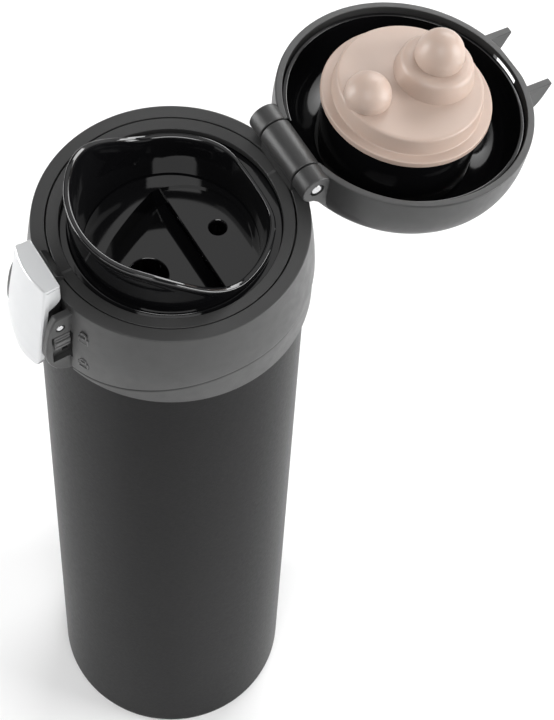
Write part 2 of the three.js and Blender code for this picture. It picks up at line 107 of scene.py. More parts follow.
FLANGE_R = 22.5  # radius of the packing's flange
DISC_R = 19.2  # and of the disc on it
HOUSING_HALF = 10.8  # half width of the button's housing
POCKET_HALF = 8.9  # and of the pocket in it
FAR = 60  # beyond the cap sideways, for cutting tools
BELOW = 200  # and levels under and over the cap
ABOVE = 280


# ------------------------------------------------------------------ outlines
def smooth(t):
    t = min(1.0, max(0.0, t))
    return t * t * (3 - 2 * t)


def rounded(points, steps=4):
    """A closed outline of corners (x, y) or (x, y, cut), with each cut corner rounded off."""
    outline = []
    for i, point in enumerate(points):
        corner = Vector(point[:2])
        cut = point[2] if len(point) > 2 else 0
        if not cut:
            outline.append(tuple(corner))
            continue
        back = Vector(points[i - 1][:2]) - corner
        on = Vector(points[(i + 1) % len(points)][:2]) - corner
        start = corner + back.normalized() * min(cut, back.length * 0.49)
        end = corner + on.normalized() * min(cut, on.length * 0.49)
        for k in range(steps + 1):
            t = k / steps
            outline.append(tuple((1 - t) ** 2 * start + 2 * t * (1 - t) * corner + t**2 * end))
    return outline


def arc(cx, cy, radius, start, end, steps):
    """Points on an arc, angles in degrees."""
    angles = [math.radians(start + (end - start) * k / steps) for k in range(steps + 1)]
    return [(cx + radius * math.cos(a), cy + radius * math.sin(a)) for a in angles]


def swoop(angle):
    """Height of the collar shell's lower edge at an angle from +X."""
    degrees = math.degrees(angle) % 360
    if degrees > 180:
        degrees -= 360
    if degrees > 90:
        degrees = 180 - degrees
    if degrees < -90:
        degrees = -180 - degrees
    start, span = -78, 82
    return SWOOP_LOW + SWOOP_RISE * smooth((degrees - start) / span)


def collar_radius(z):
    """Outer radius of the collar: upright below, drawn in to the shoulder."""
    t = max(0.0, (z - COLLAR_UPRIGHT) / (COLLAR_TOP - COLLAR_UPRIGHT))
    return COLLAR_R - (COLLAR_R - SHOULDER_R) * t**1.5


def lip_height(y):
    start, span = -20, 28
    return LIP_HIGH - (LIP_HIGH - LIP_LOW) * smooth((y - start) / span)


def flattened(radius, flat, angle):
    """Radius of a wall that is round but flat towards the hinge, with a softened corner."""
    s = math.sin(angle)
    if s <= 0:
        return radius
    power = 24  # the higher, the sharper the corner
    return (radius**-power + (s / flat) ** power) ** (-1 / power)


def dome(radius, height, base, steps, start=0.0):
    """Section of a rounded-box dome, from its rim up to the axis. Its rim may start above the base."""
    points = []
    for k in range(steps + 1):
        rise = start + (height - start) * math.sin(TAU / 4 * k / steps) ** 0.9
        share = max(0.0, 1 - (rise / height) ** DOME_POWER)
        points.append((radius * share ** (1 / DOME_POWER) if k < steps else 0.0, base + rise))
    return points


# ------------------------------------------------------------------ meshes
def to_object(bm, name):
    bmesh.ops.remove_doubles(bm, verts=bm.verts, dist=1e-4)
    bmesh.ops.recalc_face_normals(bm, faces=bm.faces)
    mesh = bpy.data.meshes.new(name)
    bm.to_mesh(mesh)
    bm.free()
    obj = bpy.data.objects.new(name, mesh)
    bpy.context.collection.objects.link(obj)
    return obj


def turned(name, outline_at, segments=ROUND):
    """Turns an outline of (radius, z) round Z: one outline, or a function of the angle that gives one.

    The outline is closed, or starts and ends on the axis.
    """
    section = outline_at if callable(outline_at) else lambda angle: outline_at
    bm = bmesh.new()
    rows = []
    for s in range(segments):
        a = TAU * s / segments
        rows.append([bm.verts.new((r * math.cos(a), r * math.sin(a), z)) for r, z in section(a)])
    first, last = section(0)[0], section(0)[-1]
    on_axis = first[0] == 0 and last[0] == 0
    count = len(rows[0]) - (1 if on_axis else 0)
    for s, row in enumerate(rows):
        following = rows[(s + 1) % segments]
        for p in range(count):
            q = (p + 1) % len(row)
            bm.faces.new((row[p], following[p], following[q], row[q]))
    return to_object(bm, name)


def slab(name, outline, start, end, axis="Z"):
    """A plate between two planes: the outline is (x, y) along Z, or (y, z) along X."""
    bm = bmesh.new()
    layers = []
    for level in (start, end):
        if axis == "Z":
            layers.append([bm.verts.new((u, v, level)) for u, v in outline])
        else:
            layers.append([bm.verts.new((level, u, v)) for u, v in outline])
    count = len(outline)
    for p in range(count):
        q = (p + 1) % count
        bm.faces.new((layers[0][p], layers[0][q], layers[1][q], layers[1][p]))
    bm.faces.new(layers[0])
    bm.faces.new(layers[1])
    return to_object(bm, name)


def block(name, x, y, z):
    return slab(name, [(x[0], y[0]), (x[1], y[0]), (x[1], y[1]), (x[0], y[1])], z[0], z[1])


def bar(name, outline, centre, segments=SMALL):
    """A turned bar along X: the outline is (radius, x)."""
    obj = turned(name, outline, segments)
    obj.data.transform(Matrix.Rotation(TAU / 4, 4, "Y"))
    obj.data.transform(Matrix.Translation((0, centre.y, centre.z)))
    return obj


def rod(name, radius, x0, x1, centre, segments=SMALL, ease=0.0):
    outline = rounded([(0, x0), (radius, x0, ease), (radius, x1, ease), (0, x1)])
    return bar(name, outline, centre, segments)


def swept(name, path, radius_at, sides=10):
    """A round wire along a list of points."""
    bm = bmesh.new()
    rings = []
    for i, point in enumerate(path):
        along = (path[min(i + 1, len(path) - 1)] - path[max(i - 1, 0)]).normalized()
        side = along.cross(Vector((0.31, 0.87, 0.39))).normalized()
        up = along.cross(side)
        radius = radius_at(i / (len(path) - 1))
        rings.append([
            bm.verts.new(point + radius * (math.cos(TAU * k / sides) * side + math.sin(TAU * k / sides) * up))
            for k in range(sides)
        ])
    for one, two in zip(rings, rings[1:]):
        for k in range(sides):
            m = (k + 1) % sides
            bm.faces.new((one[k], one[m], two[m], two[k]))
    bm.faces.new(rings[0])
    bm.faces.new(rings[-1])
    return to_object(bm, name)


def applied(obj):
    """Bakes the object's modifiers into its mesh."""
    graph = bpy.context.evaluated_depsgraph_get()
    mesh = bpy.data.meshes.new_from_object(obj.evaluated_get(graph))
    obj.modifiers.clear()
    obj.data = mesh
    return obj


def combined(obj, operation, tools):
    for tool in tools:
        boolean = obj.modifiers.new("boolean", "BOOLEAN")
        boolean.operation = operation
        boolean.solver = "MANIFOLD"
        boolean.object = tool
        applied(obj)
        bpy.data.objects.remove(tool)
    return obj


def joined(obj, *tools):
    return combined(obj, "UNION", tools)


def carved(obj, *tools):
    return combined(obj, "DIFFERENCE", tools)


def eased(obj, width, angle=40, segments=3):
    """Rounds off the object's hard edges."""
    bevel = obj.modifiers.new("bevel", "BEVEL")
    bevel.width = width
    bevel.segments = segments
    bevel.limit_method = "ANGLE"
    bevel.angle_limit = math.radians(angle)
    bevel.use_clamp_overlap = True
    bevel.miter_outer = "MITER_ARC"
    return applied(obj)


def shaded(obj, angle=38):
    """Smooth shading, kept sharp at edges that turn by more than the angle, with the flats kept flat."""
    mesh = obj.data
    for polygon in mesh.polygons:
        polygon.use_smooth = True
    bm = bmesh.new()
    bm.from_mesh(mesh)
    for edge in bm.edges:
        edge.smooth = len(edge.link_faces) == 2 and edge.calc_face_angle(0) < math.radians(angle)
    bm.to_mesh(mesh)
    bm.free()
    weighted = obj.modifiers.new("flats", "WEIGHTED_NORMAL")
    weighted.keep_sharp = True
    weighted.weight = 80
    return applied(obj)


# ------------------------------------------------------------------ materials
def material(name, colour, roughness, metallic=0.0, coat=0.0, specular=0.5):
    mat = bpy.data.materials.new(name)
    mat.use_nodes = True
    shader = mat.node_tree.nodes["Principled BSDF"]
    shader.inputs["Base Color"].default_value = (*colour, 1)
    shader.inputs["Roughness"].default_value = roughness
    shader.inputs["Metallic"].default_value = metallic
    shader.inputs["Coat Weight"].default_value = coat
    shader.inputs["Coat Roughness"].default_value = 0.08
    shader.inputs["Specular IOR Level"].default_value = specular
    return mat


def noise(mat, scale, detail=3.0, stretch=(1, 1, 1)):
    """A noise in the object's own metres."""
    nodes, links = mat.node_tree.nodes, mat.node_tree.links
    place = nodes.new("ShaderNodeTexCoord")
    mapping = nodes.new("ShaderNodeMapping")
    mapping.inputs["Scale"].default_value = stretch
    texture = nodes.new("ShaderNodeTexNoise")
    texture.inputs["Scale"].default_value = scale
    texture.inputs["Detail"].default_value = detail
    links.new(place.outputs["Object"], mapping.inputs["Vector"])
    links.new(mapping.outputs["Vector"], texture.inputs["Vector"])
    return texture.outputs["Fac"]


def spread(mat, value, lowest, highest):
    """Maps a 0 to 1 value onto a range."""
    node = mat.node_tree.nodes.new("ShaderNodeMapRange")
    node.inputs["From Min"].default_value = 0.3
    node.inputs["From Max"].default_value = 0.7
    node.inputs["To Min"].default_value = lowest
    node.inputs["To Max"].default_value = highest
    mat.node_tree.links.new(value, node.inputs["Value"])
    return node.outputs["Result"]


def tinted(mat, value, one, two):
    """Colours the shader between two colours by a value."""
    nodes, links = mat.node_tree.nodes, mat.node_tree.links
    mix = nodes.new("ShaderNodeMix")
    mix.data_type = "RGBA"
    mix.inputs["A"].default_value = (*one, 1)
    mix.inputs["B"].default_value = (*two, 1)
    links.new(value, mix.inputs["Factor"])
    links.new(mix.outputs["Result"], nodes["Principled BSDF"].inputs["Base Color"])


def roughened(mat, value):
    mat.node_tree.links.new(value, mat.node_tree.nodes["Principled BSDF"].inputs["Roughness"])


def bumped(mat, value, depth, strength=0.5):
    """Relief of a depth in metres."""
    nodes, links = mat.node_tree.nodes, mat.node_tree.links
    bump = nodes.new("ShaderNodeBump")
    bump.inputs["Distance"].default_value = depth
    bump.inputs["Strength"].default_value = strength
    links.new(value, bump.inputs["Height"])
    links.new(bump.outputs["Normal"], nodes["Principled BSDF"].inputs["Normal"])


def powder_coat():
    mat = material("powder_coat", (0.008, 0.008, 0.0083), 0.4, specular=0.05)
    shader = mat.node_tree.nodes["Principled BSDF"]
    shader.inputs["Sheen Weight"].default_value = 0.12
    shader.inputs["Sheen Roughness"].default_value = 0.25
    bumped(mat, noise(mat, 2200, 2), 0.00006, 0.35)
    tinted(mat, noise(mat, 60, 3), (0.0072, 0.0072, 0.0075), (0.009, 0.009, 0.0094))
    roughened(mat, spread(mat, noise(mat, 900, 4), 0.4, 0.46))
    return mat


def fine_plastic(name, shade, rough):
    """Matte moulded plastic with a fine sparked grain."""
    mat = material(name, (shade,) * 3, rough, specular=0.5)
    bumped(mat, noise(mat, 3200, 2), 0.00005, 0.35)
    tinted(mat, noise(mat, 90, 3), (shade * 0.9,) * 3, (shade * 1.12,) * 3)
    roughened(mat, spread(mat, noise(mat, 300, 4), rough - 0.04, rough + 0.05))
    return mat


def polished_plastic():
    mat = material("polished_plastic", (0.004, 0.004, 0.0045), 0.06, coat=0.3, specular=0.6)
    bumped(mat, noise(mat, 45, 2), 0.0002, 0.05)
    roughened(mat, spread(mat, noise(mat, 120, 3), 0.04, 0.09))
    return mat


def silicone():
    mat = material("silicone", (0.44, 0.34, 0.285), 0.38)
    shader = mat.node_tree.nodes["Principled BSDF"]
    shader.inputs["Subsurface Weight"].default_value = 0.12
    shader.inputs["Subsurface Radius"].default_value = (0.9, 0.5, 0.35)
    shader.inputs["Subsurface Scale"].default_value = 0.0015
    bumped(mat, noise(mat, 900, 3), 0.00004, 0.3)
    tinted(mat, noise(mat, 110, 3), (0.42, 0.322, 0.268), (0.46, 0.355, 0.3))
    roughened(mat, spread(mat, noise(mat, 200, 3), 0.36, 0.48))
    return mat


def bright_steel(name, stretch=(1, 1, 1), rough=0.24):
    mat = material(name, (0.62, 0.62, 0.63), rough, metallic=1)
    grain = noise(mat, 900, 3, stretch)
    bumped(mat, grain, 0.00003, 0.25)
    roughened(mat, spread(mat, grain, rough - 0.06, rough + 0.1))
    return mat


def silver_plastic():
    mat = material("silver_plastic", (0.62, 0.63, 0.64), 0.3, metallic=0.5)
    tinted(mat, noise(mat, 200, 2), (0.61, 0.62, 0.63), (0.64, 0.645, 0.65))
    roughened(mat, spread(mat, noise(mat, 60, 2), 0.28, 0.34))
    return mat


POWDER = powder_coat()
MATTE = fine_plastic("matte_plastic", 0.032, 0.4)
DARK = fine_plastic("dark_plastic", 0.012, 0.36)
GREY = fine_plastic("grey_plastic", 0.09, 0.36)
MARK = fine_plastic("mark_plastic", 0.07, 0.3)
GLOSS = polished_plastic()
SILICONE = silicone()
STEEL = bright_steel("steel")
BRUSHED = bright_steel("brushed_steel", (1, 1, 0.02), 0.3)
SILVER = silver_plastic()


def place(obj, body, mat, nodes, slot=None, angle=38):
    """Shades a finished piece, scales it to metres, gives it its material, ties it to its body and hides the
    CAD nodes it replaces.
    """
    shaded(obj, angle)
    obj.data.transform(Matrix.Scale(MM, 4))
    obj.data.materials.clear()
    obj.data.materials.append(mat)
    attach(obj, body)
    if nodes:
        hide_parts(*nodes)
    return obj


def keep(node, mat):
    """A CAD node that is shown as it is, in its own material."""
    obj = frame["nodes"][node]
    obj.data.materials.clear()
    obj.data.materials.append(mat)


# ------------------------------------------------------------------ flask body
def make_flask():
    inner = BODY_R - WALL
    plate = high("base_plate").x + 0.3
    shell = turned("outer_shell_skin", rounded([
        (plate, 0, 0.2), (BODY_R, 0, 5), (BODY_R, BODY_TOP - 0.3, 1.1), (NECK_R + 0.2, BODY_TOP, 0.3),
        (NECK_R, BODY_TOP + 0.4, 0.3), (NECK_R, NECK_TOP, 0.2), (NECK_R - 0.8, NECK_TOP),
        (NECK_R - 0.8, BODY_TOP - WALL), (inner, BODY_TOP - 1.6, 0.6), (inner, WALL, 4.4), (plate, WALL),
    ], 10))
    place(shell, "flask", POWDER, ["outer_shell"])

    turns, thread_low, pitch, steps = 1.6, BODY_TOP + 4, 4.2, 160
    path = []
    for k in range(steps + 1):
        t = k / steps
        a = TAU * turns * t
        path.append(Vector((NECK_R * math.cos(a), NECK_R * math.sin(a), thread_low + pitch * turns * t)))
    thread = swept("neck_thread", path, lambda t: 0.08 + 0.34 * smooth(8 * min(t, 1 - t)), 8)
    place(thread, "flask", BRUSHED, [], "inner_vessel")

    radius = high("inner_vessel").x
    bottom = low("inner_vessel").z
    neck = NECK_R - 1.2
    shoulder = 216
    vessel = turned("inner_vessel_skin", rounded([
        (0, bottom), (radius, bottom, 6), (radius, shoulder, 2), (neck, shoulder + 4.5, 2),
        (neck, NECK_TOP + 0.3), (NECK_R, NECK_TOP + 0.3, 0.2), (NECK_R, NECK_TOP + 1.1, 0.4),
        (neck - 0.8, NECK_TOP + 1.1, 0.5), (neck - 0.8, shoulder + 4.3, 2), (radius - 0.8, shoulder - 0.2, 2),
        (radius - 0.8, bottom + 0.8, 5.5), (0, bottom + 0.8),
    ], 8))
    place(vessel, "flask", BRUSHED, ["inner_vessel"])

    rim = high("base_plate").x
    plate = turned("base_plate_skin", rounded([
        (0, 0.35), (9, 0.35), (9.5, 0), (rim, 0, 0.2), (rim, 0.9, 0.2), (0, 0.9),
    ], 3))
    place(plate, "flask", STEEL, ["base_plate"])
    keep("vacuum_getter", STEEL)


# ------------------------------------------------------------------ cap
def make_collar():
    wall = SHOULDER_R - 2.4

    def section(angle):
        edge = swoop(angle)
        rise = [edge + (COLLAR_TOP - 0.7 - edge) * k / 12 for k in range(13)]
        return rounded([
            (wall, edge), (collar_radius(edge), edge, 0.9),
            *[(collar_radius(z), z) for z in rise[1:]],
            (SHOULDER_R, COLLAR_TOP, 0.6), (OPENING_R, COLLAR_TOP, 0.25),
            (OPENING_R, COLLAR_TOP - 2.1), (wall, COLLAR_TOP - 2.1),
        ])

    shell = turned("collar_shell_skin", section, 192)
    side = rounded([
        (-32.3, BODY_TOP + 0.7), (-36, BODY_TOP + 1, 1), (-39, 225, 1.5), (-41.1, 228.6, 2),
        (-41.9, 233, 2.5), (-41.4, 239, 2.5), (-40.3, 245, 2), (-38.6, 248.5, 0.8), (-32.3, 248.5),
    ])
    housing = eased(slab("housing", side, -HOUSING_HALF, HOUSING_HALF, "X"), 0.5, 50)
    top = COLLAR_TOP
    bracket = rounded([
        (HINGE.y - 3.6, HINGE.z), (HINGE.y - 4.1, HINGE.z - 1.6, 0.5), (HINGE.y - 4.1, top + 0.4, 0.3),
        (OPENING_R + 0.35, top + 0.4), (OPENING_R + 0.35, top - 1), (HINGE.y - 0.5, top - 1),
        (HINGE.y - 0.3, HINGE.z - 4.1, 0.3), (HINGE.y, HINGE.z),
    ])
    joined(
        shell,
        housing,
        rod("barrel", KNUCKLE_R, -BARREL, BARREL, HINGE, 64, 0.35),
        slab("bracket", bracket, -BARREL + 0.3, BARREL - 0.3, "X"),
    )
    window_low, window_high = low("lock_slider").z - 5.2, high("lock_slider").z + 0.3
    carved(
        shell,
        block("pocket", (-POCKET_HALF, POCKET_HALF), (-FAR, -37.4), (BELOW, ABOVE)),
        block("claw_room", (-POCKET_HALF, POCKET_HALF), (-FAR, -34.6), (PIVOT.z - 2.6, ABOVE)),
        block("back_flat", (-12, 12), (HINGE.y - 0.3, 50), (238, COLLAR_TOP + 0.1)),
        rod("pin_hole", 1.3, -20, 20, PIVOT, 24),
        rod("bore", 3, -20, 20, HINGE, 32),
        block("window", (9.5, 11.8), (-40, -34.2), (window_low, window_high)),
        block("slot", (7.2, 10), (-36.8, -35.2), (window_low + 1.5, window_high - 1.4)),
    )
    place(shell, "cap", MATTE, ["collar_shell"], angle=30)

    inner = wall + 0.2
    band_radius = high("collar_band").y
    base = BODY_TOP + 0.3
    band = turned("collar_band_skin", lambda a: rounded([
        (inner, base), (band_radius, base, 0.35),
        (band_radius, swoop(a) - 0.35, 0.8), (inner, swoop(a) - 0.35),
    ]), 192)
    carved(band, block("housing_room", (-11.2, 11.2), (-FAR, 0), (BELOW, 240)))
    place(band, "cap", MATTE, ["collar_band"], angle=30)

    outer = high("collar_core").x
    core = turned("collar_core_skin", rounded([
        (NECK_R + 0.7, BODY_TOP + 1.4), (outer - 1.2, BODY_TOP + 1.4, 0.3), (outer - 1.2, 230),
        (outer, 232.8), (outer, 247.9, 0.2), (outer - 1.8, 247.9, 0.2), (outer - 1.8, 240.1),
        (25.7, 240.1, 0.2), (25.7, 238.2, 0.2), (NECK_R + 0.7, 238.2),
    ], 2))
    place(core, "cap", DARK, ["collar_core"])

    for node, inside, outside in (("collar_gasket", 26.6, 29.3), ("mouthpiece_gasket", 26, 28.8)):
        bottom, top = low(node).z, high(node).z
        ring = turned(node + "_skin", rounded([
            (inside, bottom, 0.4), (outside, bottom, 0.4), (outside, top, 0.4), (inside, top, 0.4),
        ], 3), 96)
        place(ring, "cap", SILICONE, [node])

    ring = make_top_ring()
    place(ring, "cap", MATTE, ["top_ring"], angle=30)


def make_top_ring():
    """Two halves that meet at the front and back with a small step."""
    top = COLLAR_TOP

    def section(angle):
        drop = 0.35 if math.cos(angle) > 0 else 0.0
        return rounded([
            (28.2, 248.3), (31.3, 248.3), (31.3, top - drop, 0.2), (28.2, top - 0.3 - drop, 0.3),
        ], 3)

    return turned("top_ring_skin", section, 360)


def make_mouthpiece():
    flat = 24.4

    def section(angle):
        s = math.sin(angle)
        lip = lip_height(26.4 * s)
        thin = 1.1 * smooth((s - 0.7) / 0.25)
        inset = 2.2 - thin

        def at(radius, back):
            return flattened(radius, flat - back, angle)

        return rounded([
            (25.2, DECK + 0.6), (25.2, 241.7), (29.5, 241.7, 0.2), (29.5, 247.5, 0.3), (28, 247.9, 0.2),
            (at(26.1, 0.1), 248, 0.5), (at(26.1, 0.1), lip - 2.8, 1),
            (at(26.5, 0), lip - 1.1, 0.8), (at(26.4, 0.1), lip, 0.8), (at(25, 1.1), lip, 0.8),
            (at(24.4, inset), lip - 1.4, 1), (at(24, inset + 0.1), min(249.5, lip - 3), 1.5),
            (at(23.3, inset + 0.1), 245, 1.5), (22.8, DECK + 0.6),
        ])

    mouth = turned("mouthpiece_skin", section, 192)
    place(mouth, "cap", GLOSS, ["mouthpiece"])


def recess(offset):
    """Plan of the hollow in the mouthpiece's floor: round under the hinge, drawn in to a blunt front."""
    sides = [(15.2, -1.5), (12.4, -7), (9.6, -12), (6, -16.4), (2, -18.3)]
    right = [(x + offset * 0.8, y - offset * 0.6, 2.2) for x, y in sides]
    left = [(-x, y, c) for x, y, c in right]
    return rounded([*arc(0, 4, 17.4 + offset, 0, 180, 40), *left, *reversed(right)], 4)


def make_insert():
    edge, wall = 6.7, 1.2
    tub = slab("drinking_insert_skin", recess(wall), FLOOR - wall, DECK - 0.4)
    deck = turned("deck", rounded([(0, DECK - 1.5), (24.8, DECK - 1.5), (24.8, DECK, 0.2), (0, DECK)], 3))
    joined(tub, deck)
    hollow = slab("hollow", recess(0), FLOOR, 260)
    carved(hollow, block("shelf", (-40, 40), (edge, 40), (SHELF - 1.3, SHELF)))
    carved(tub, hollow, block("under_shelf", (-40, 40), (edge + wall, 40), (200, SHELF - 1.3)))
    for name, y, radius, level in (("vent", VENT_Y, VENT_R, SHELF), ("drink", DRINK_Y, DRINK_R, FLOOR)):
        ease = 0.45
        rim = arc(radius + ease, level - ease, ease, 180, 100, 4)
        outline = [(0, BELOW), (radius, BELOW), *rim, (radius + ease, 260), (0, 260)]
        carved(tub, shifted(turned(name, outline, 64), y))
    place(tub, "cap", GLOSS, ["drinking_insert"], angle=30)


def shifted(obj, y):
    obj.data.transform(Matrix.Translation((0, y, 0)))
    return obj


def coil(name, radius, wire, x0, x1, turns, centre):
    path = []
    steps = int(turns * 28)
    for k in range(steps + 1):
        t = k / steps
        a = TAU * turns * t
        along = x0 + (x1 - x0) * t
        path.append(Vector((along, centre.y + radius * math.cos(a), centre.z + radius * math.sin(a))))
    return swept(name, path, lambda t: wire)


def make_hinge_parts():
    pin = rod("hinge_pin_skin", 1.5, -13.1, 13.1, HINGE, 32, 0.3)
    place(pin, "cap", STEEL, ["hinge_pin"])
    place(coil("hinge_spring_skin", 2.25, 0.32, -6.4, 6.4, 9, HINGE), "cap", STEEL, ["hinge_spring"])
    pin = rod("button_pin_skin", 1, -10.7, 10.7, PIVOT, 32, 0.2)
    place(pin, "cap", STEEL, ["button_pin"])
    place(coil("button_spring_skin", 1.65, 0.25, -3.9, 3.9, 6, PIVOT), "cap", STEEL, ["button_spring"])
    keep("lock_detent", STEEL)


def make_icons():
    """Raised padlock outlines beside the lock: the open one above, the closed one below."""
    for name, z, lift in (("open_lock_mark", 241.2, 0.7), ("closed_lock_mark", 230.2, 0.0)):
        half, base, top, bow = 1.35, -1.7, 0.5, 0.85
        crown = top + 0.7 + lift
        sides = [(-half, base), (half, base), (half, top), (-half, top), (-half, base)]
        body = swept(name, outlined(sides), lambda t: MARK_WIRE, 8)
        loop = [(bow, top), (bow, crown), *arc(0, crown, bow, 15, 165, 10), (-bow, crown)]
        if not lift:
            loop.append((-bow, top))
        joined(body, swept("shackle", outlined(loop), lambda t: MARK_WIRE, 8))
        azimuth = math.radians(-66)
        radius = collar_radius(z)
        turn = Matrix.Rotation(azimuth + TAU / 4, 4, "Z") @ Matrix.Rotation(TAU / 4, 4, "X")
        where = Matrix.Translation((radius * math.cos(azimuth), radius * math.sin(azimuth), z))
        body.data.transform(where @ turn)
        place(body, "cap", MARK, [], "collar_shell")


def outlined(points):
    """Points (u, v) on a flat, with more along each straight so that a swept wire keeps its corners."""
    path = []
    for (u0, v0), (u1, v1) in zip(points, points[1:]):
        path += [Vector((u0 + (u1 - u0) * t, v0 + (v1 - v0) * t, 0)) for t in (0, 0.08, 0.5, 0.92)]
    return [*path, Vector((*points[-1], 0))]


# ------------------------------------------------------------------ lid, drawn closed
def opened(obj):
    """Turns a piece drawn closed to the open rest position."""
    about = Matrix.Translation((0, HINGE.y, HINGE.z))
    obj.data.transform(about @ Matrix.Rotation(-OPEN, 4, "X") @ about.inverted())
    return obj


def notch():
    return block("notch", (-KNUCKLE[0], KNUCKLE[0]), (HINGE.y - 5, 50), (RIM - 5, HINGE.z + 5.4))


def make_lid():
    inner_r, inner_h = LID_R - 1.9, LID_H - 2
    outer = dome(LID_R, LID_H, RIM, 28)
    inside = dome(inner_r, inner_h, RIM, 28)
    shell = turned("lid_shell_skin", lid_section(outer, inside), 192)
    room_r, room_h = inner_r + 0.3, inner_h + 0.3
    room = turned("room", [(0, RIM - 1), (room_r, RIM - 1), *dome(room_r, room_h, RIM, 20)], 96)
    extras = []
    for x0, x1 in ((KNUCKLE[0], KNUCKLE[1]), (-KNUCKLE[1], -KNUCKLE[0])):
        section = [*arc(0, 0, KNUCKLE_R, -140, 85, 40), (-1.2, 5.5), (-5.2, 9.8)]
        section = [(HINGE.y + u, HINGE.z + v) for u, v in section]
        extras.append(eased(slab("knuckle", section, x0, x1, "X"), 0.35, 50))
    for side in (1, -1):
        fin = rounded([(-30.5, RIM), (-39.8, RIM, 0.5), (-39.4, RIM + 1.2, 0.8), (-37.7, RIM + 6.2, 2),
                       (-35.6, RIM + 9.2, 2), (-32, RIM + 11.4, 1), (-30.5, RIM + 11.4)])
        near, far = sorted((side * LATCH_FLAT, side * (LATCH_FLAT + 2)))
        extras.append(eased(slab("fin", fin, near, far, "X"), 0.4, 50))
    for extra in extras:
        joined(shell, carved(extra, copied(room)))
    bpy.data.objects.remove(room)
    carved(
        shell,
        notch(),
        rod("pin_hole", 2, -20, 20, HINGE, 48),
        block("latch_flat", (-LATCH_FLAT, LATCH_FLAT), (-50, -33.5), (RIM - 1, RIM + 8)),
        block("catch", (-5, 5), (-36, -30), (RIM + 1.4, RIM + 5.4)),
    )
    place(opened(shell), "lid", MATTE, ["lid_shell"], angle=30)

    liner_r, liner_h = inner_r - 0.3, inner_h - 0.3
    liner = turned("lid_liner_skin", lid_section(
        dome(liner_r, liner_h, RIM, 24, LINER_RISE), dome(liner_r - 1.2, liner_h - 1.2, RIM, 24, LINER_RISE)))
    carved(liner, notch(), rod("knuckle_room", KNUCKLE_R + 0.5, -KNUCKLE[1] - 0.4, KNUCKLE[1] + 0.4, HINGE))
    place(opened(liner), "lid", GLOSS, ["lid_liner"], angle=30)

    bottom = FLANGE[1] + 0.3
    outside, within, top = 20.9, 19.2, 269
    drum = turned("plug_holder_skin", rounded([
        (0, bottom), (outside, bottom, 0.4), (outside, top, 0.3),
        (within, top), (within, bottom + 2, 0.5), (0, bottom + 2),
    ]))
    place(opened(shifted(drum, SEAL_Y)), "lid", GLOSS, ["plug_holder"])


def lid_section(outer, inside):
    """A dome shell's section, closed over a rounded rim."""
    edge = outer[0][1]
    rim = rounded([outer[1], (outer[0][0], edge, 0.5), (inside[0][0], edge, 0.3), inside[1]])[1:-1]
    return [*outer[:0:-1], *rim, *inside[1:]]


def copied(obj):
    twin = obj.copy()
    twin.data = obj.data.copy()
    bpy.context.collection.objects.link(twin)
    return twin


def make_packing():
    low_level, high_level = FLANGE
    base = turned("lid_packing_skin", rounded([
        (0, high_level), (FLANGE_R, high_level, 0.5), (FLANGE_R - 0.1, low_level, 0.5),
        (DISC_R + 0.5, low_level, 0.4), (DISC_R, FACE, 1), (0, FACE),
    ], 6))
    shifted(base, SEAL_Y)

    def nub(name, radius, height, top, y):
        waist = radius - 0.45  # drawn in where it meets the face, which leaves a crisp line there
        outline = [(0, top + 1), (waist, top + 1), (waist, top - 0.25), (radius - 0.1, top - 0.7)]
        steps = 24
        for k in range(4, steps + 1):
            depth = math.sin(TAU / 4 * k / steps)
            wide = radius * math.sqrt(max(0.0, 1 - depth**2.6)) if k < steps else 0.0
            outline.append((wide, top - height * depth))
        return shifted(turned(name, outline, 96), y)

    step_face = FACE - DRINK_STEP
    step = turned("step", rounded([
        (0, FACE + 1), (10.6, FACE + 1), (10.6, FACE), (9.3, step_face, 2), (0, step_face),
    ], 8), 96)
    joined(base, shifted(step, DRINK_Y))
    joined(base, nub("vent_nub", 6.2, VENT_NUB, FACE, VENT_Y))
    joined(base, nub("drink_nub", 6.5, DRINK_NUB, step_face, DRINK_Y))
    place(opened(base), "lid", SILICONE, ["lid_packing"], angle=34)


# ------------------------------------------------------------------ button and lock
BUTTON_TOP = high("push_button").z
PLATE = [  # height, half width and edge depth of the shield-shaped plate
    (221.3, 1.6, -42.4), (222.3, 4.4, -42.6), (224.5, 6.7, -42.8), (228, 8.1, -42.9), (233, 8.6, -42.7),
    (240, 8.5, -42), (247, 8.3, -41), (253, 8, -40.2), (BUTTON_TOP, 7.8, -39.6),
]


def plate_row(z):
    """Half width and edge depth of the plate at a height."""
    for (z0, w0, y0), (z1, w1, y1) in zip(PLATE, PLATE[1:]):
        if z <= z1:
            t = (z - z0) / (z1 - z0)
            return w0 + (w1 - w0) * t, y0 + (y1 - y0) * t
    return PLATE[-1][1:]


